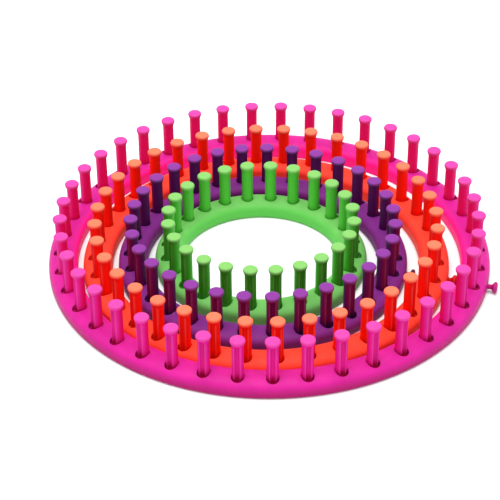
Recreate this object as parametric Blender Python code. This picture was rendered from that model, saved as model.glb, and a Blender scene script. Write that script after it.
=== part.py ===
"""A set of four round knitting looms that nest one inside the other on a table.

Each loom is a moulded ring with a row of upright grooved pegs and one short anchor peg in its
outer wall. The rings are open underneath. Pegs pass up through sockets in the deck and stand on
a foot strip below it, three pegs to a strip. Sizes are in metres, and +Z is up.
"""

import math
from collections import namedtuple

import bmesh
import bpy
from mathutils import Vector

MM = 0.001
GAP = 0.3 * MM  # between pieces that touch

RING_WIDTH = 18.5 * MM
RING_HEIGHT = 10.6 * MM
OUTER_WALL = 3.2 * MM
INNER_WALL = 2.4 * MM
DECK = 2.6 * MM
OUTER_SHOULDER = 6.0 * MM  # radii of the ring's rounded edges
OUTER_FOOT = 2.4 * MM
INNER_SHOULDER = 5.0 * MM
INNER_FOOT = 0.8 * MM
FACET_LENGTH = 15.0 * MM  # a ring's outer wall is faceted about this finely

PEG_INSET = 8.95 * MM  # from the ring's outer wall in to the pegs' axes
PEG_TOP = 38.0 * MM
SHAFT_RADIUS = 3.7 * MM
HEAD_RADIUS = 4.7 * MM
HEAD_CROWN_RADIUS = 4.2 * MM
HEAD_RIM_HEIGHT = 2.0 * MM
HEAD_FLARE_HEIGHT = 3.6 * MM
GROOVE_HALF_ANGLE = math.radians(32)
GROOVE_FLOOR_RADIUS = 2.1 * MM
SHAFT_SIDES = 6

SOCKET_APOTHEM = SHAFT_RADIUS + GAP
SOCKET_REACH = 1.1 * MM  # how far the socket runs on towards the outer wall

PEGS_PER_STRIP = 3
STRIP_WIDTH = 9.6 * MM
STRIP_THICKNESS = 1.4 * MM
STRIP_TOP = 2.3 * MM  # over the table

ANCHOR_HEIGHT = 3.9 * MM  # of its axis over the table
ANCHOR_SHAFT_RADIUS = 1.6 * MM
ANCHOR_HEAD_RADIUS = 3.7 * MM
ANCHOR_FACE_RADIUS = 3.2 * MM
ANCHOR_REACH = 6.8 * MM  # past the outer wall
ANCHOR_RIM = 1.4 * MM
ANCHOR_FLARE = 1.6 * MM
ANCHOR_SIDES = 8

# centre is where the ring lies on the table, from the largest ring's centre. turn is the
# direction of its anchor peg, in degrees from +X: the anchor sits midway between two pegs.
Loom = namedtuple("Loom", "name outer_radius pegs turn centre colour peg_colour")
LOOMS = (
    Loom("magenta", 144.6 * MM, 41, -15.5, (0, 0), (0.90, 0.04, 0.42), (0.72, 0.02, 0.28)),
    Loom("orange", 119.6 * MM, 36, -12.35, (-2.1 * MM, -5.7 * MM), (1.0, 0.10, 0.04), (0.86, 0.03, 0.01)),
    Loom("purple", 94.5 * MM, 31, -11.5, (-4.2 * MM, -5.7 * MM), (0.34, 0.05, 0.44), (0.24, 0.02, 0.30)),
    Loom("green", 69.4 * MM, 24, -14.5, (-5.4 * MM, -3.4 * MM), (0.22, 0.68, 0.14), (0.14, 0.50, 0.06)),
)


def clear_scene():
    for obj in list(bpy.data.objects):
        bpy.data.objects.remove(obj, do_unlink=True)


def plastic(name, colour):
    material = bpy.data.materials.new(name)
    material.use_nodes = True
    shader = material.node_tree.nodes["Principled BSDF"]
    shader.inputs["Base Color"].default_value = (*colour, 1)
    shader.inputs["Roughness"].default_value = 0.35
    shader.inputs["Metallic"].default_value = 0
    material.diffuse_color = (*colour, 1)
    return material


def add_loft(bm, loops, ring=False):
    """Joins loops of points into one closed body: capped at both ends, or closed on itself."""
    rows = [[bm.verts.new(point) for point in loop] for loop in loops]
    pairs = list(zip(rows, rows[1:]))
    if ring:
        pairs.append((rows[-1], rows[0]))
    else:
        bm.faces.new(rows[0])
        bm.faces.new(rows[-1])
    for low, high in pairs:
        for i in range(len(low)):
            j = (i + 1) % len(low)
            bm.faces.new((low[i], low[j], high[j], high[i]))


def mesh_of(name, bm):
    bmesh.ops.recalc_face_normals(bm, faces=bm.faces)
    mesh = bpy.data.meshes.new(name)
    bm.to_mesh(mesh)
    bm.free()
    return mesh


def add_object(name, mesh, parent=None, material=None):
    obj = bpy.data.objects.new(name, mesh)
    bpy.context.scene.collection.objects.link(obj)
    obj.parent = parent
    if material:
        mesh.materials.clear()
        mesh.materials.append(material)
        mesh.shade_smooth()
        mesh.set_sharp_from_angle(angle=math.radians(35))
    return obj


def add_helper(name, mesh, parent=None):
    """An operand of a Boolean, which isn't a piece of the loom."""
    helper = add_object(name, mesh, parent)
    helper.hide_render = True
    helper.display_type = "WIRE"
    return helper


def add_boolean(obj, operation, helper):
    modifier = obj.modifiers.new(helper.name, "BOOLEAN")
    modifier.operation = operation
    modifier.solver = "EXACT"
    modifier.object = helper


def on_circle(radius, angle, z=0.0):
    return Vector((radius * math.cos(angle), radius * math.sin(angle), z))


def peg_angle(loom, number):
    """The direction of a peg, counted from 1 round the ring from the anchor peg."""
    return math.radians(loom.turn) + (number - 0.5) * math.tau / loom.pegs


def peg_section(radius, groove_radius, z):
    """Points round a peg's axis: its round side, and one point in the middle of the groove."""
    step = (math.tau - 2 * GROOVE_HALF_ANGLE) / SHAFT_SIDES
    angles = [GROOVE_HALF_ANGLE + i * step for i in range(SHAFT_SIDES + 1)]
    return [on_circle(groove_radius, 0, z)] + [on_circle(radius, angle, z) for angle in angles]


def peg_sections():
    """A peg from its foot to its crown, with its groove towards +X."""
    rim = PEG_TOP - HEAD_RIM_HEIGHT
    foot = STRIP_TOP - STRIP_THICKNESS / 2
    return (
        peg_section(SHAFT_RADIUS, GROOVE_FLOOR_RADIUS, foot),
        peg_section(SHAFT_RADIUS, GROOVE_FLOOR_RADIUS, rim - HEAD_FLARE_HEIGHT),
        peg_section(HEAD_RADIUS, HEAD_RADIUS, rim),
        peg_section(HEAD_CROWN_RADIUS, HEAD_CROWN_RADIUS, PEG_TOP),
    )


def socket_outline(z):
    """A hexagon round a peg, drawn out towards the ring's outer wall."""
    corner = SOCKET_APOTHEM / math.cos(math.radians(30))
    points = [on_circle(corner, math.radians(angle), z) for angle in range(0, 360, 60)]
    return [point + Vector((SOCKET_REACH, 0, 0)) if point.x > 0 else point for point in points]


def turned(points, peg_circle, angle):
    """Points round a peg's axis, moved out to the peg circle and turned to the peg's direction."""
    out = Vector((peg_circle, 0, 0))
    return [on_circle((p + out).xy.length, math.atan2(p.y, p.x + peg_circle) + angle, p.z) for p in points]


def strip_mesh(loom, count):
    """The foot strip of so many neighbouring pegs, which starts half a pitch before the first."""
    pitch = math.tau / loom.pegs
    peg_circle = loom.outer_radius - PEG_INSET
    end_gap = GAP / peg_circle
    bm = bmesh.new()
    loops = []
    for i in range(count + 1):
        angle = (i - 0.5) * pitch + (end_gap if i == 0 else -end_gap if i == count else 0)
        near, far = peg_circle - STRIP_WIDTH / 2, peg_circle + STRIP_WIDTH / 2
        low, high = STRIP_TOP - STRIP_THICKNESS, STRIP_TOP
        corners = ((near, low), (far, low), (far, high), (near, high))
        loops.append([on_circle(radius, angle, z) for radius, z in corners])
    add_loft(bm, loops)
    return mesh_of(f"{loom.name}_strip_{count}", bm)


def pegs_mesh(loom, count):
    """So many pegs standing on their foot strip, as one body."""
    bm = bmesh.new()
    for i in range(count):
        angle = i * math.tau / loom.pegs
        peg_circle = loom.outer_radius - PEG_INSET
        add_loft(bm, [turned(section, peg_circle, angle) for section in peg_sections()])
    helper = add_helper(f"{loom.name}_uprights_{count}", mesh_of(f"{loom.name}_uprights_{count}", bm))
    strip = add_object("strip", strip_mesh(loom, count))
    add_boolean(strip, "UNION", helper)
    graph = bpy.context.evaluated_depsgraph_get()
    mesh = bpy.data.meshes.new_from_object(strip.evaluated_get(graph))
    mesh.name = f"{loom.name}_pegs_{count}"
    for used in (strip, helper):
        bpy.data.objects.remove(used, do_unlink=True)
    return mesh


def add_pegs(loom, parent):
    """The row of pegs, in nodes of up to three neighbours, which share a mesh."""
    material = plastic(f"{loom.name}_pegs", loom.peg_colour)
    meshes = {}
    for first in range(1, loom.pegs + 1, PEGS_PER_STRIP):
        last = min(first + PEGS_PER_STRIP - 1, loom.pegs)
        count = last - first + 1
        if count not in meshes:
            meshes[count] = pegs_mesh(loom, count)
        name = f"{loom.name}_peg_{first:02d}" if count == 1 else f"{loom.name}_pegs_{first:02d}_{last:02d}"
        obj = add_object(name, meshes[count], parent, material)
        obj.rotation_euler.z = peg_angle(loom, first)


def rounded_corner(corner, size, start):
    """Three points of a quarter arc that rounds a corner of a section, from the start angle on."""
    radius, z = corner
    outward = 1 if start in (-90, 0) else -1
    upward = 1 if start in (0, 90) else -1
    middle = (radius - outward * size, z - upward * size)
    angles = [math.radians(start + turn) for turn in (0, 45, 90)]
    return [(middle[0] + size * math.cos(a), middle[1] + size * math.sin(a)) for a in angles]


def ring_profile(loom):
    """The ring's section, as (radius, z): two walls and a deck, open below."""
    outer, inner = loom.outer_radius, loom.outer_radius - RING_WIDTH
    ceiling = RING_HEIGHT - DECK
    return (
        *rounded_corner((outer, 0), OUTER_FOOT, -90),
        *rounded_corner((outer, RING_HEIGHT), OUTER_SHOULDER, 0),
        *rounded_corner((inner, RING_HEIGHT), INNER_SHOULDER, 90),
        *rounded_corner((inner, 0), INNER_FOOT, 180),
        (inner + INNER_WALL, 0),
        (inner + INNER_WALL, ceiling),
        (outer - OUTER_WALL, ceiling),
        (outer - OUTER_WALL, 0),
    )


def socket_cutter(loom, parent):
    bm = bmesh.new()
    for number in range(1, loom.pegs + 1):
        levels = (RING_HEIGHT - DECK - MM, RING_HEIGHT + MM)
        outlines = [socket_outline(z) for z in levels]
        peg_circle = loom.outer_radius - PEG_INSET
        add_loft(bm, [turned(outline, peg_circle, peg_angle(loom, number)) for outline in outlines])
    return add_helper(f"{loom.name}_sockets", mesh_of(f"{loom.name}_sockets", bm), parent)


def round_along_x(radius, x, sides):
    angles = [(i + 0.5) * math.tau / sides for i in range(sides)]
    return [Vector((x, radius * math.cos(angle), radius * math.sin(angle))) for angle in angles]


def bore_cutter(loom, parent):
    """The anchor peg's hole through the outer wall."""
    radius = (ANCHOR_SHAFT_RADIUS + GAP) / math.cos(math.pi / ANCHOR_SIDES)
    span = (loom.outer_radius - OUTER_WALL - MM, loom.outer_radius + MM)
    bm = bmesh.new()
    add_loft(bm, [round_along_x(radius, x, ANCHOR_SIDES) for x in span])
    cutter = add_helper(f"{loom.name}_bore", mesh_of(f"{loom.name}_bore", bm), parent)
    cutter.location.z = ANCHOR_HEIGHT
    cutter.rotation_euler.z = math.radians(loom.turn)
    return cutter


def add_ring_frame(loom, parent):
    profile = ring_profile(loom)
    facets = 4 * round(math.tau * loom.outer_radius / FACET_LENGTH / 4)
    angles = [i * math.tau / facets for i in range(facets)]
    bm = bmesh.new()
    add_loft(bm, [[on_circle(radius, angle, z) for radius, z in profile] for angle in angles], ring=True)
    name = f"{loom.name}_ring_frame"
    frame = add_object(name, mesh_of(name, bm), parent, plastic(name, loom.colour))
    add_boolean(frame, "DIFFERENCE", socket_cutter(loom, parent))
    add_boolean(frame, "DIFFERENCE", bore_cutter(loom, parent))


def add_anchor_peg(loom, parent):
    """The short peg that holds the first end of the yarn, pressed into the outer wall."""
    wall, tip = loom.outer_radius, loom.outer_radius + ANCHOR_REACH
    rows = (
        (ANCHOR_SHAFT_RADIUS, wall - OUTER_WALL),
        (ANCHOR_SHAFT_RADIUS, tip - ANCHOR_RIM - ANCHOR_FLARE),
        (ANCHOR_HEAD_RADIUS, tip - ANCHOR_RIM),
        (ANCHOR_FACE_RADIUS, tip),
    )
    bm = bmesh.new()
    add_loft(bm, [round_along_x(radius, x, ANCHOR_SIDES) for radius, x in rows])
    name = f"{loom.name}_anchor_peg"
    anchor = add_object(name, mesh_of(name, bm), parent, plastic(name, loom.peg_colour))
    anchor.location.z = ANCHOR_HEIGHT
    anchor.rotation_euler.z = math.radians(loom.turn)


def add_loom(loom, parent):
    centre = bpy.data.objects.new(f"{loom.name}_loom", None)
    bpy.context.scene.collection.objects.link(centre)
    centre.parent = parent
    centre.location.xy = loom.centre
    add_ring_frame(loom, centre)
    add_anchor_peg(loom, centre)
    add_pegs(loom, centre)


def centre_on_origin(root):
    """Moves the set so that the middle of its box stands on the origin."""
    bpy.context.view_layer.update()
    pieces = [obj for obj in bpy.data.objects if obj.type == "MESH" and not obj.hide_render]
    corners = [obj.matrix_world @ vertex.co for obj in pieces for vertex in obj.data.vertices]
    for axis in (0, 1):
        places = [corner[axis] for corner in corners]
        root.location[axis] = -(min(places) + max(places)) / 2


def main():
    clear_scene()
    root = bpy.data.objects.new("loom_set", None)
    bpy.context.scene.collection.objects.link(root)
    for loom in LOOMS:
        add_loom(loom, root)
    centre_on_origin(root)


main()
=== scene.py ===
"""The looks of a set of four round knitting looms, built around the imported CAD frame.

Each ring is modelled sector by sector, one sector to a peg, with a drawn-out socket, a rounded
crown and an open underside. Each peg is a piece of its own: a grooved shaft with a button head,
and a foot that closes its socket from below. Sizes are in metres, and +Z is up.
"""

import math
from collections import namedtuple

import bmesh
import bpy
from mathutils import Matrix, Vector


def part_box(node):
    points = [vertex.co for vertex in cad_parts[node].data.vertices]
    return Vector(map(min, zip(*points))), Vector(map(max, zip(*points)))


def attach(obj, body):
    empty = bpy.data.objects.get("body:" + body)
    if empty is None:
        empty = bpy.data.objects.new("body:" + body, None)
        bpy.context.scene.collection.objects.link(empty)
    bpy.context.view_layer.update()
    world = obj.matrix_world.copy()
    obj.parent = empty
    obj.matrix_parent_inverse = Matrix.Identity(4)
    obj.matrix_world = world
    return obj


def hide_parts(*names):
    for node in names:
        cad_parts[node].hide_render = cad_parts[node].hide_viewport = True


MM = 0.001

# Points round a sector, a socket or a peg, which are all joined point to point.
LOOP_POINTS = 32
HALF_LOOP = LOOP_POINTS // 2
SIDE_STEPS = LOOP_POINTS // 4  # along a sector's side
EDGE_STEPS = LOOP_POINTS // 8  # along half of a sector's outer or inner edge
SIDE_CROWDING = 1.3  # above 1, the points on a sector's side stand closer near the outer edge

# The ring's section. Insets are measured from its outer wall.
OUTER_SPAN = 9.0 * MM  # how far in the outer shoulder curves
OUTER_EDGE = 4.6 * MM  # height at which the shoulder meets the outer wall
INNER_SPAN = 7.5 * MM
INNER_EDGE = 5.2 * MM
SHOULDER_POWER = 2.2  # 2 is an ellipse, more is squarer
SECTOR_MARGIN = 1.2 * MM  # what is left of each shoulder outside the sectors' top patches
OUTER_WALL = 2.2 * MM
INNER_WALL = 2.4 * MM
OUTER_FOOT = 1.8 * MM  # how far the outer wall is rounded at the table
SOLE_BEVEL = 0.3 * MM
CEILING = 5.6 * MM  # of the open channel, over the table
WELD = 0.001 * MM

# Sockets, and the bosses below them.
PEG_INSET = 8.95 * MM
SOCKET_RADIUS = 3.85 * MM
SOCKET_SHIFT = 1.85 * MM  # from the peg's axis out to the middle of the socket's outer end
SOCKET_LIP = 0.5 * MM
BOSS_WALL = 0.7 * MM
BOSS_FOOT = 2.4 * MM
BOSS_GAP = 0.05 * MM  # between a boss and the outer wall

# Pegs. Their groove faces the ring's outer wall.
SHAFT_RADIUS = 3.7 * MM
GROOVE_POINTS = 6  # from the middle of the groove's floor to where its rim joins the round side
GROOVE_RADIUS = 0.8 * MM
GROOVE_MIDDLE = 2.4 * MM
GROOVE_STEP = math.radians(31)
GROOVE_ANGLE = math.radians(40)  # where the groove's rim joins the round side
RIM_ANGLE = math.radians(27.2)
RIM_DEPTHS = (0.95 * MM, 0.40 * MM, 0.08 * MM)  # under the round side
FADE_START = 0.1  # the part of the head's flare where the groove starts to fade out
FADE_SPAN = 0.7
FLARE_POWER = 1.8  # of the flares below the pegs' and the anchor pegs' heads
HEAD_RADIUS = 4.7 * MM
HEAD_RIM = 2.1 * MM
HEAD_FLARE = 3.8 * MM
HEAD_ROUNDING = 1.1 * MM
HEAD_DOME = 0.35 * MM
FOOT_RADIUS = SOCKET_RADIUS + BOSS_WALL - 0.1 * MM
FOOT_BEVEL = 0.25 * MM
FOOT_LOW = 0.9 * MM
FOOT_HIGH = 2.3 * MM
PLUG_RADIUS = SOCKET_RADIUS - 0.05 * MM
PLUG_TOP = 6.9 * MM  # the foot's plug fills the socket up to here
PEGS_PER_NODE = 3

# Anchor pegs, along their own axis from the outer wall.
ANCHOR_HEIGHT = 3.9 * MM
ANCHOR_ROOT = 2.0 * MM
ANCHOR_SHAFT = 1.6 * MM
ANCHOR_COLLAR = 0.6 * MM
COLLAR_POWER = 0.7
ANCHOR_HEAD = 3.7 * MM
ANCHOR_FLARE = 1.8 * MM
ANCHOR_RIM = 2.4 * MM  # the head's thickness at its rim
ANCHOR_ROUNDING = 1.0 * MM
ANCHOR_DOME = 0.4 * MM
ANCHOR_REACH = 6.8 * MM
NESTED_ANCHOR_REACH = 6.0 * MM  # on the looms inside another
ANCHOR_SIDES = 28

# Between which two places a colour changes into the next.
WALL_PAINTED_SHADE = (3.0 * MM, 8.5 * MM)  # heights on a ring's outer wall, between the painted shade low down and the ring's own colour
WALL_PAINTED_LIGHT = (0.5 * MM, 4.0 * MM)  # from a ring's inner wall outwards, over which the inner wall's painted light fades out
WALL_SPLIT = (9.0 * MM, 5.0 * MM)  # insets that part a ring's inner side, with its painted light, from its outer one, with its painted shade
SHAFT_PAINTED_SHADE = (9.5 * MM, 14.0 * MM)  # heights on a peg, over which the painted shade low on its shaft fades out
HEAD_PAINTED_LIGHT = (34.8 * MM, 37.7 * MM)  # heights on a peg, over which the head's painted light comes in
BACK_PAINTED_LIGHT_AND_SHADE = (-0.4 * MM, 2.4 * MM)  # from a peg's axis towards its groove, over which the painted light and shade of the inward side fades out

# turn is the direction of the anchor peg, in degrees from +X, midway between two pegs. width is
# the ring's, and foot is how far its inner wall is rounded at the table. The colours are those
# of the ring and its inner wall, whose colour is painted light, the outward and the inward side of a
# peg's shaft, the inward one painted light and shade, and a peg's head, paler as painted light.
Loom = namedtuple("Loom", "name pegs turn width foot ring wall shaft back head")
LOOMS = (
    Loom(
        name="magenta",
        pegs=41,
        turn=-15.5,
        width=18.9 * MM,
        foot=0.5 * MM,
        ring=(0.60, 0.014, 0.27),
        wall=(0.85, 0.011, 0.25),
        shaft=(0.65, 0.009, 0.25),
        back=(0.68, 0.0045, 0.125),
        head=(0.60, 0.048, 0.31),
    ),
    Loom(
        name="orange",
        pegs=36,
        turn=-12.35,
        width=19.1 * MM,
        foot=1.2 * MM,
        ring=(0.90, 0.056, 0.030),
        wall=(1.0, 0.045, 0.028),
        shaft=(0.82, 0.005, 0.001),
        back=(1.0, 0.009, 0.0008),
        head=(0.80, 0.16, 0.085),
    ),
    Loom(
        name="purple",
        pegs=31,
        turn=-11.5,
        width=18.9 * MM,
        foot=1.2 * MM,
        ring=(0.19, 0.020, 0.21),
        wall=(0.20, 0.017, 0.19),
        shaft=(0.16, 0.001, 0.058),
        back=(0.080, 0.003, 0.085),
        head=(0.20, 0.030, 0.25),
    ),
    Loom(
        name="green",
        pegs=24,
        turn=-14.5,
        width=18.1 * MM,
        foot=1.9 * MM,
        ring=(0.16, 0.50, 0.11),
        wall=(0.11, 0.50, 0.08),
        shaft=(0.040, 0.27, 0.008),
        back=(0.065, 0.43, 0.032),
        head=(0.19, 0.45, 0.115),
    ),
)

# The camera, from the middle of the largest ring.
CAMERA_PLACE = Vector((-17.2, -952.4, 678.7)) * MM
CAMERA_TILT = math.radians(35.19)
CAMERA_PAN = math.radians(0.275)
CAMERA_ROLL = math.radians(-0.425)
CAMERA_LENS = 127.4  # mm
CAMERA_SENSOR = 36  # mm

# The studio.
WORLD_STRENGTH = 0.95
LIGHT_PLACE = (-0.1, 0.0, 1.6)
LIGHT_SIZE = (1.4, 1.2)
LIGHT_POWER = 28
FLOOR_HALF = 4
FLOOR_DROP = 0.1 * MM

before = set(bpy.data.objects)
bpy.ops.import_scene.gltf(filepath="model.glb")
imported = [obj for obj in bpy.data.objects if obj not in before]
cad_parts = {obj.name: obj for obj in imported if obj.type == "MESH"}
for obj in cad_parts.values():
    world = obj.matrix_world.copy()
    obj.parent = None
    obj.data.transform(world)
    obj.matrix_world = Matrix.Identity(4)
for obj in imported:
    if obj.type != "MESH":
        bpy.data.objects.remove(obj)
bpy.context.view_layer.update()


# Meshes


def finish_mesh(name, bm, material):
    bmesh.ops.recalc_face_normals(bm, faces=bm.faces)
    mesh = bpy.data.meshes.new(name)
    bm.to_mesh(mesh)
    bm.free()
    mesh.materials.append(material)
    mesh.shade_smooth()
    mesh.set_sharp_from_angle(angle=math.radians(50))
    return mesh


def link_object(name, data):
    obj = bpy.data.objects.new(name, data)
    bpy.context.scene.collection.objects.link(obj)
    return obj


def add_rows(bm, rows, closed):
    """Joins rows of the same number of vertices with quads."""
    for low, high in zip(rows, rows[1:]):
        last = len(low) if closed else len(low) - 1
        for i in range(last):
            j = (i + 1) % len(low)
            bm.faces.new((low[i], low[j], high[j], high[i]))


def add_fan(bm, row, middle):
    tip = bm.verts.new(middle)
    for i, vertex in enumerate(row):
        bm.faces.new((vertex, row[(i + 1) % len(row)], tip))


def on_circle(radius, angle, z=0.0):
    return Vector((radius * math.cos(angle), radius * math.sin(angle), z))


def between(first, second, part):
    return [a.lerp(b, part) for a, b in zip(first, second)]


# Rings


def shoulder(part):
    """Height on a rounded shoulder, from 0 to 1, at that part of its span from the wall."""
    return (1 - (1 - part) ** SHOULDER_POWER) ** (1 / SHOULDER_POWER)


def crown(inset, width, height):
    """Height of the ring's top surface at that inset from its outer wall."""
    if inset < OUTER_SPAN:
        return OUTER_EDGE + (height - OUTER_EDGE) * shoulder(inset / OUTER_SPAN)
    if inset > width - INNER_SPAN:
        return INNER_EDGE + (height - INNER_EDGE) * shoulder((width - inset) / INNER_SPAN)
    return height


def stadium(radius, z):
    """Points round a socket, counter-clockwise from its outer end."""
    quarter = math.pi / 2 * radius
    half = 2 * quarter + SOCKET_SHIFT
    points = []
    for i in range(LOOP_POINTS):
        along = 2 * half * i / LOOP_POINTS
        side = 1 if along <= half else -1
        along = min(along, 2 * half - along)
        if along < quarter:
            x = SOCKET_SHIFT + radius * math.cos(along / radius)
            y = radius * math.sin(along / radius)
        elif along < quarter + SOCKET_SHIFT:
            x = SOCKET_SHIFT + quarter - along
            y = radius
        else:
            turn = (along - SOCKET_SHIFT) / radius
            x = radius * math.cos(turn)
            y = radius * math.sin(turn)
        points.append(Vector((x, side * y, z)))
    return points


def sector_outline(far, near, pitch, z):
    """Points round a sector of the ring, counter-clockwise from the middle of its outer edge."""
    points = []
    for i in range(LOOP_POINTS):
        step = min(i, LOOP_POINTS - i)
        angle = pitch / 2
        if step <= EDGE_STEPS:
            radius = far
            angle *= step / EDGE_STEPS
        elif step <= EDGE_STEPS + SIDE_STEPS:
            radius = far + (near - far) * ((step - EDGE_STEPS) / SIDE_STEPS) ** SIDE_CROWDING
        else:
            radius = near
            angle *= (HALF_LOOP - step) / EDGE_STEPS
        points.append(on_circle(radius, angle if i < HALF_LOOP else -angle, z))
    return points


def sector_loops(radius, width, pitch, height):
    """Closed loops from a sector's top patch, down through its socket, to the channel's ceiling."""
    peg_circle = radius - PEG_INSET

    def around_peg(points):
        return [point + Vector((peg_circle, 0, 0)) for point in points]

    def on_crown(points, drop=0.0):
        return [Vector((p.x, p.y, crown(radius - p.xy.length, width, height) - drop)) for p in points]

    outline = sector_outline(radius - SECTOR_MARGIN, radius - width + SECTOR_MARGIN, pitch, height)
    lip = around_peg(stadium(SOCKET_RADIUS + SOCKET_LIP, height))
    loops = [on_crown(between(outline, lip, part)) for part in (0, 0.4, 0.75, 1)]
    for degrees in (30, 60, 90):
        turn = math.radians(degrees)
        edge = around_peg(stadium(SOCKET_RADIUS + SOCKET_LIP * (1 - math.sin(turn)), height))
        loops.append(on_crown(edge, SOCKET_LIP * (1 - math.cos(turn))))
    for z in (CEILING, BOSS_FOOT):
        loops.append(around_peg(stadium(SOCKET_RADIUS, z)))
    far_side = PEG_INSET - OUTER_WALL - BOSS_GAP
    for z in (BOSS_FOOT, CEILING):
        boss = [Vector((min(p.x, far_side), p.y, p.z)) for p in stadium(SOCKET_RADIUS + BOSS_WALL, z)]
        loops.append(around_peg(boss))
    ceiling = sector_outline(radius - OUTER_WALL, radius - width + INNER_WALL, pitch, CEILING)
    loops.append(between(loops[-1], ceiling, 0.5))
    loops.append(ceiling)
    return loops


def shoulder_points(span, edge, height):
    """The rest of a shoulder, as (inset, z), from the top patch down to the wall."""
    start = math.acos((1 - SECTOR_MARGIN / span) ** (SHOULDER_POWER / 2))
    turns = [start * part for part in (0.75, 0.5, 0.25, 0)]
    power = 2 / SHOULDER_POWER
    return [(span * (1 - math.cos(t) ** power), edge + (height - edge) * math.sin(t) ** power) for t in turns]


def wall_section(shoulder_line, edge, foot, thickness):
    """The section from the top patch round a wall to the channel's ceiling, as (inset, z)."""
    turns = [math.radians(90 * i / 4) for i in range(5)]
    return [
        *shoulder_line,
        (0, (edge + foot) / 2),
        *[(foot * (1 - math.cos(turn)), foot * (1 - math.sin(turn))) for turn in turns],
        (thickness - SOLE_BEVEL, 0),
        (thickness, SOLE_BEVEL),
        (thickness, CEILING / 2),
    ]


def outer_side(height):
    shoulder_line = shoulder_points(OUTER_SPAN, OUTER_EDGE, height)
    return wall_section(shoulder_line, OUTER_EDGE, OUTER_FOOT, OUTER_WALL)


def inner_side(width, foot, height):
    """The same on the inner side, with insets still measured from the outer wall."""
    shoulder_line = shoulder_points(INNER_SPAN, INNER_EDGE, height)
    section = wall_section(shoulder_line, INNER_EDGE, foot, INNER_WALL)
    return [(width - inset, z) for inset, z in section]


def side_rows(points, section, radius):
    """Rows of points below a sector's edge, which follow a section."""
    return [[on_circle(radius - inset, math.atan2(p.y, p.x), z) for p in points] for inset, z in section]


def add_sector(bm, loops, sides, angle):
    spin = Matrix.Rotation(angle, 3, "Z")
    rings = [[bm.verts.new(spin @ point) for point in loop] for loop in loops]
    add_rows(bm, rings, closed=True)
    for picked, rows in sides:
        middle = [[bm.verts.new(spin @ point) for point in row] for row in rows]
        top = [rings[0][i] for i in picked]
        ceiling = [rings[-1][i] for i in picked]
        add_rows(bm, [top, *middle, ceiling], closed=False)


def add_ring(loom, radius, height):
    pitch = math.tau / loom.pegs
    loops = sector_loops(radius, loom.width, pitch, height)
    steps = range(-EDGE_STEPS, EDGE_STEPS + 1)
    far = [i % LOOP_POINTS for i in steps]
    near = [i + HALF_LOOP for i in steps]
    outer_section = outer_side(height)
    inner_section = inner_side(loom.width, loom.foot, height)
    sides = (
        (far, side_rows([loops[0][i] for i in far], outer_section, radius)),
        (near, side_rows([loops[0][i] for i in near], inner_section, radius)),
    )
    bm = bmesh.new()
    for number in range(loom.pegs):
        add_sector(bm, loops, sides, math.radians(loom.turn) + (number + 0.5) * pitch)
    bmesh.ops.remove_doubles(bm, verts=bm.verts, dist=WELD)
    name = f"{loom.name}_ring"
    return link_object(name, finish_mesh(name, bm, ring_material(loom, radius)))


# Pegs


def round_angle(i):
    """Where a point of the peg's section lies on a circle: 0 faces out and HALF_LOOP faces in."""
    if i < GROOVE_POINTS:
        return GROOVE_ANGLE * i / GROOVE_POINTS
    return GROOVE_ANGLE + (math.pi - GROOVE_ANGLE) * (i - GROOVE_POINTS) / (HALF_LOOP - GROOVE_POINTS)


def grooved_point(i):
    """The same point on the grooved shaft: three on the groove's floor, then three on its rim."""
    if i >= GROOVE_POINTS:
        return on_circle(SHAFT_RADIUS, round_angle(i))
    floor_points = GROOVE_POINTS - len(RIM_DEPTHS)
    if i >= floor_points:
        return on_circle(SHAFT_RADIUS - RIM_DEPTHS[i - floor_points], RIM_ANGLE)
    return Vector((GROOVE_MIDDLE, 0, 0)) - on_circle(GROOVE_RADIUS, -GROOVE_STEP * i)


def peg_row(radius, groove, z):
    """A section of the peg. groove is 1 where it is full and 0 where there is none."""
    points = []
    for i in range(LOOP_POINTS):
        half = min(i, LOOP_POINTS - i)
        plain = on_circle(radius, round_angle(half))
        point = plain.lerp(grooved_point(half) * (radius / SHAFT_RADIUS), groove)
        side = 1 if i <= HALF_LOOP else -1
        points.append(Vector((point.x, side * point.y, z)))
    return points


def smooth(part):
    part = min(max(part, 0), 1)
    return part * part * (3 - 2 * part)


def peg_rows(top):
    """A peg from the bottom of its foot to the edge of the fan on its head."""
    rows = [
        stadium(FOOT_RADIUS - FOOT_BEVEL, FOOT_LOW),
        stadium(FOOT_RADIUS, FOOT_LOW + FOOT_BEVEL),
        stadium(FOOT_RADIUS, FOOT_HIGH),
        stadium(PLUG_RADIUS, FOOT_HIGH),
        stadium(PLUG_RADIUS, PLUG_TOP),
    ]
    neck = top - HEAD_RIM - HEAD_FLARE
    for part in (0, 0.35, 0.7, 1):
        rows.append(peg_row(SHAFT_RADIUS, 1, PLUG_TOP + (neck - PLUG_TOP) * part))
    for part in (0.2, 0.4, 0.6, 0.75, 0.88, 1):
        radius = SHAFT_RADIUS + (HEAD_RADIUS - SHAFT_RADIUS) * part**FLARE_POWER
        groove = 1 - smooth((part - FADE_START) / FADE_SPAN)
        rows.append(peg_row(radius, groove, neck + HEAD_FLARE * part))
    edge = HEAD_RADIUS - HEAD_ROUNDING
    dome_edge = top - HEAD_DOME
    for degrees in (0, 25, 50, 70, 90):
        turn = math.radians(degrees)
        z = dome_edge - HEAD_ROUNDING * (1 - math.sin(turn))
        rows.append(peg_row(edge + HEAD_ROUNDING * math.cos(turn), 0, z))
    for part in (0.75, 0.4):
        rows.append(peg_row(edge * part, 0, top - HEAD_DOME * part**2))
    return rows


def peg_mesh(loom, top):
    bm = bmesh.new()
    rows = [[bm.verts.new(point) for point in row] for row in peg_rows(top)]
    add_rows(bm, rows, closed=True)
    add_fan(bm, rows[0], (SOCKET_SHIFT / 2, 0, FOOT_LOW))
    add_fan(bm, rows[-1], (0, 0, top))
    return finish_mesh(f"{loom.name}_peg", bm, peg_material(loom))


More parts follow.
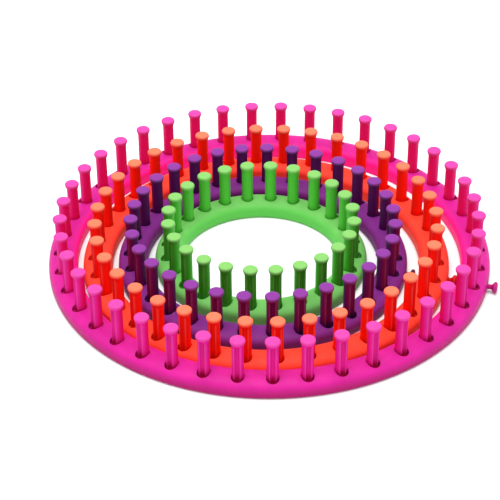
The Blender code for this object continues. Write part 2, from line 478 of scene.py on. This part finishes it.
def peg_node(loom, number):
    """The CAD node that holds a peg: neighbours share one, three at a time."""
    first = (number - 1) // PEGS_PER_NODE * PEGS_PER_NODE + 1
    last = min(first + PEGS_PER_NODE - 1, loom.pegs)
    if first == last:
        return f"{loom.name}_peg_{first:02d}"
    return f"{loom.name}_pegs_{first:02d}_{last:02d}"


def anchor_section(tip):
    """The anchor peg's outline as (distance from the wall, radius)."""
    points = [(-ANCHOR_ROOT, ANCHOR_SHAFT)]
    for degrees in (0, 30, 60, 90):
        rise = math.sin(math.radians(degrees))
        points.append((ANCHOR_COLLAR * rise, ANCHOR_SHAFT + ANCHOR_COLLAR * (1 - rise**COLLAR_POWER)))
    for part in (0, 0.25, 0.5, 0.7, 0.85, 1):
        flare = (ANCHOR_HEAD - ANCHOR_SHAFT) * part**FLARE_POWER
        points.append((tip - ANCHOR_RIM - ANCHOR_FLARE * (1 - part), ANCHOR_SHAFT + flare))
    for degrees in (0, 25, 50, 70, 90):
        turn = math.radians(degrees)
        inwards = ANCHOR_ROUNDING * (1 - math.cos(turn))
        points.append((tip - ANCHOR_DOME - ANCHOR_ROUNDING * (1 - math.sin(turn)), ANCHOR_HEAD - inwards))
    points.append((tip - ANCHOR_DOME / 3, ANCHOR_SHAFT))
    return points


def add_anchor(loom):
    tip = ANCHOR_REACH if loom.name == "magenta" else NESTED_ANCHOR_REACH
    turns = [math.tau * i / ANCHOR_SIDES for i in range(ANCHOR_SIDES)]
    bm = bmesh.new()
    rows = []
    for x, radius in anchor_section(tip):
        rows.append([bm.verts.new((x, radius * math.cos(t), radius * math.sin(t))) for t in turns])
    add_rows(bm, rows, closed=True)
    add_fan(bm, rows[0], (-ANCHOR_ROOT, 0, 0))
    add_fan(bm, rows[-1], (tip, 0, 0))
    name = f"{loom.name}_anchor"
    return link_object(name, finish_mesh(name, bm, anchor_material(loom)))


# Materials


def new_material(name):
    material = bpy.data.materials.new(name)
    material.use_nodes = True
    return material


def scaled(colour, *factors):
    """The colour times one factor for all its channels, or one for each."""
    return tuple(channel * factor for channel, factor in zip(colour, factors * 3))


class Plastic:
    """Semi-gloss moulded plastic: flow marks, a fine grain, and edges that are paler, part scuffing and part
    painted highlight.
    """

    def __init__(self, name, colour):
        self.material = new_material(name)
        self.nodes = self.material.node_tree.nodes
        self.links = self.material.node_tree.links
        self.place = self.nodes.new("ShaderNodeTexCoord").outputs["Object"]
        axes = self.node("ShaderNodeSeparateXYZ", self.place)
        self.x = axes.outputs["X"]
        self.z = axes.outputs["Z"]
        random = self.nodes.new("ShaderNodeObjectInfo").outputs["Random"]
        self.marks_place = self.vector_math("ADD", self.place, random).outputs["Vector"]
        marks = self.spread(self.noise(scale=70, detail=3), (0.35, 0.65))
        self.colour = self.blend(marks, scaled(colour, 0.86), colour)

    def node(self, kind, *sources):
        """A new node, whose first inputs are linked to the sources."""
        node = self.nodes.new(kind)
        for number, source in enumerate(sources):
            self.links.new(source, node.inputs[number])
        return node

    def vector_math(self, operation, *sources):
        node = self.node("ShaderNodeVectorMath", *sources)
        node.operation = operation
        return node

    def noise(self, scale, detail):
        node = self.node("ShaderNodeTexNoise", self.marks_place)
        node.inputs["Scale"].default_value = scale
        node.inputs["Detail"].default_value = detail
        return node.outputs["Fac"]

    def spread(self, value, source, target=(0, 1)):
        """Maps the source range of a value onto the target range."""
        node = self.node("ShaderNodeMapRange", value)
        names = ("From Min", "From Max", "To Min", "To Max")
        for name, number in zip(names, (*source, *target)):
            node.inputs[name].default_value = number
        return node.outputs["Result"]

    def blend(self, factor, first, second):
        node = self.nodes.new("ShaderNodeMix")
        node.data_type = "RGBA"
        self.links.new(factor, node.inputs["Factor"])
        for socket, value in ((node.inputs["A"], first), (node.inputs["B"], second)):
            if isinstance(value, tuple):
                socket.default_value = (*value, 1)
            else:
                self.links.new(value, socket)
        return node.outputs["Result"]

    def distance(self):
        """How far a point is from the object's origin."""
        return self.vector_math("LENGTH", self.place).outputs["Value"]

    def finish(self, edge_colour, wear_and_highlight):
        """Pales the edges towards a lighter version of edge_colour, as scuffing and, on the pegs' heads, also
        as a painted highlight, and adds gloss and grain.
        """
        pale = tuple(channel + (1 - channel) * 0.12 for channel in edge_colour)
        edges = self.nodes.new("ShaderNodeNewGeometry").outputs["Pointiness"]
        # paler edges: scuffing, and a painted highlight on the pegs' heads
        scuffed_and_highlit_edges = self.blend(self.spread(edges, (0.52, 0.62), (0, wear_and_highlight)), self.colour, pale)
        roughness = self.spread(self.noise(scale=420, detail=4), (0.3, 0.7), (0.38, 0.52))
        bump = self.nodes.new("ShaderNodeBump")
        bump.inputs["Strength"].default_value = 0.25
        bump.inputs["Distance"].default_value = 0.04 * MM
        self.links.new(self.noise(scale=2600, detail=3), bump.inputs["Height"])
        shader = self.nodes["Principled BSDF"]
        shader.inputs["Specular IOR Level"].default_value = 0.09
        self.links.new(scuffed_and_highlit_edges, shader.inputs["Base Color"])
        self.links.new(roughness, shader.inputs["Roughness"])
        self.links.new(bump.outputs["Normal"], shader.inputs["Normal"])
        return self.material


def ring_material(loom, radius):
    """Painted shade on the outer wall, darker towards the table, and painted light on the inner wall,
    brighter and more saturated there.
    """
    plastic = Plastic(f"{loom.name}_ring", loom.ring)
    distance = plastic.distance()
    # painted shade: a darker copy of the ring's colour, low on the outer wall where less light falls
    low = scaled(loom.ring, 0.62, 0.5, 0.48)
    outer = plastic.blend(plastic.spread(plastic.z, WALL_PAINTED_SHADE), low, plastic.colour)
    # painted light: the inner wall gets a brighter, more saturated colour, as if more light fell there
    painted_light_span = [radius - loom.width + inset for inset in WALL_PAINTED_LIGHT]
    inner = plastic.blend(plastic.spread(distance, painted_light_span), loom.wall, plastic.colour)
    split = [radius - inset for inset in WALL_SPLIT]
    plastic.colour = plastic.blend(plastic.spread(distance, split), inner, outer)
    return plastic.finish(edge_colour=loom.ring, wear_and_highlight=0.25)


def peg_material(loom):
    """Painted light and shade: the shaft's inward side lighter or darker than its outward side, painted shade
    low on the shaft, and painted light that makes the head paler.
    """
    plastic = Plastic(f"{loom.name}_peg", loom.shaft)
    # painted light and shade: the inward side of the shaft, and painted shade low down among the pegs
    for value, places, colour in (
        (plastic.x, BACK_PAINTED_LIGHT_AND_SHADE, loom.back),
        (plastic.z, SHAFT_PAINTED_SHADE, scaled(loom.back, 0.7)),
    ):
        plastic.colour = plastic.blend(plastic.spread(value, places), colour, plastic.colour)
    # painted light: the head paler, where the top light and its sheen fall
    plastic.colour = plastic.blend(plastic.spread(plastic.z, HEAD_PAINTED_LIGHT), plastic.colour, loom.head)
    # the pegs' rims are paled towards the head's colour: part scuffing, part painted highlight
    return plastic.finish(edge_colour=loom.head, wear_and_highlight=0.4)


def anchor_material(loom):
    colour = scaled(loom.shaft, 0.6)
    return Plastic(f"{loom.name}_anchor", colour).finish(edge_colour=colour, wear_and_highlight=0.25)


def floor_material():
    material = new_material("floor")
    nodes = material.node_tree.nodes
    links = material.node_tree.links
    shader = nodes["Principled BSDF"]
    shader.inputs["Roughness"].default_value = 0.9
    shader.inputs["Specular IOR Level"].default_value = 0.1
    noise = nodes.new("ShaderNodeTexNoise")
    noise.inputs["Scale"].default_value = 3
    ramp = nodes.new("ShaderNodeValToRGB")
    ramp.color_ramp.elements[0].color = (0.90, 0.90, 0.90, 1)
    ramp.color_ramp.elements[1].color = (0.93, 0.93, 0.93, 1)
    links.new(noise.outputs["Fac"], ramp.inputs["Fac"])
    links.new(ramp.outputs["Color"], shader.inputs["Base Color"])
    return material


# The set


def on_table(low, high):
    """The point on the table below the middle of a box."""
    return Vector(((low.x + high.x) / 2, (low.y + high.y) / 2, 0))


def add_loom(loom):
    low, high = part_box(f"{loom.name}_ring_frame")
    centre = on_table(low, high)
    radius = (high.x - low.x) / 2
    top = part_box(peg_node(loom, 1))[1].z
    body = f"{loom.name}_loom"
    turn = math.radians(loom.turn)
    ring = add_ring(loom, radius, high.z)
    ring.location = centre
    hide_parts(f"{loom.name}_ring_frame")
    anchor = add_anchor(loom)
    anchor.location = centre + on_circle(radius, turn, ANCHOR_HEIGHT)
    anchor.rotation_euler.z = turn
    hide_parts(f"{loom.name}_anchor_peg")
    pieces = [ring, anchor]
    mesh = peg_mesh(loom, top)
    for number in range(1, loom.pegs + 1):
        angle = turn + (number - 0.5) * math.tau / loom.pegs
        peg = link_object(f"{loom.name}_peg_{number:02d}_visual", mesh)
        peg.location = centre + on_circle(radius - PEG_INSET, angle)
        peg.rotation_euler.z = angle
        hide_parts(peg_node(loom, number))
        pieces.append(peg)
    for piece in pieces:
        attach(piece, body)


# The studio


def add_floor():
    bm = bmesh.new()
    bmesh.ops.create_grid(bm, x_segments=8, y_segments=8, size=FLOOR_HALF)
    floor = link_object("floor", finish_mesh("floor", bm, floor_material()))
    floor.location.z = -FLOOR_DROP


def add_lights():
    world = bpy.data.worlds.new("studio")
    world.use_nodes = True
    background = world.node_tree.nodes["Background"]
    background.inputs["Color"].default_value = (1, 1, 1, 1)
    background.inputs["Strength"].default_value = WORLD_STRENGTH
    bpy.context.scene.world = world
    light = bpy.data.lights.new("overhead", "AREA")
    light.shape = "RECTANGLE"
    light.size, light.size_y = LIGHT_SIZE
    light.energy = LIGHT_POWER
    overhead = link_object("overhead", light)
    overhead.location = LIGHT_PLACE
    overhead.rotation_euler = (-Vector(LIGHT_PLACE)).to_track_quat("-Z", "Y").to_euler()


def add_camera():
    low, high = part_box("magenta_ring_frame")
    camera = bpy.data.cameras.new("camera")
    camera.sensor_width = CAMERA_SENSOR
    camera.lens = CAMERA_LENS
    obj = link_object("camera", camera)
    ahead = Vector((math.sin(CAMERA_PAN), math.cos(CAMERA_PAN), 0)) * math.cos(CAMERA_TILT)
    ahead.z = -math.sin(CAMERA_TILT)
    level = Vector((math.cos(CAMERA_PAN), -math.sin(CAMERA_PAN), 0))
    upright = level.cross(ahead)
    right = level * math.cos(CAMERA_ROLL) + upright * math.sin(CAMERA_ROLL)
    up = upright * math.cos(CAMERA_ROLL) - level * math.sin(CAMERA_ROLL)
    obj.matrix_world = Matrix((right, up, -ahead)).transposed().to_4x4()
    obj.location = on_table(low, high) + CAMERA_PLACE
    bpy.context.scene.camera = obj


def main():
    add_camera()
    add_lights()
    add_floor()
    for loom in LOOMS:
        add_loom(loom)
    bpy.context.scene.view_settings.view_transform = "Standard"


main()
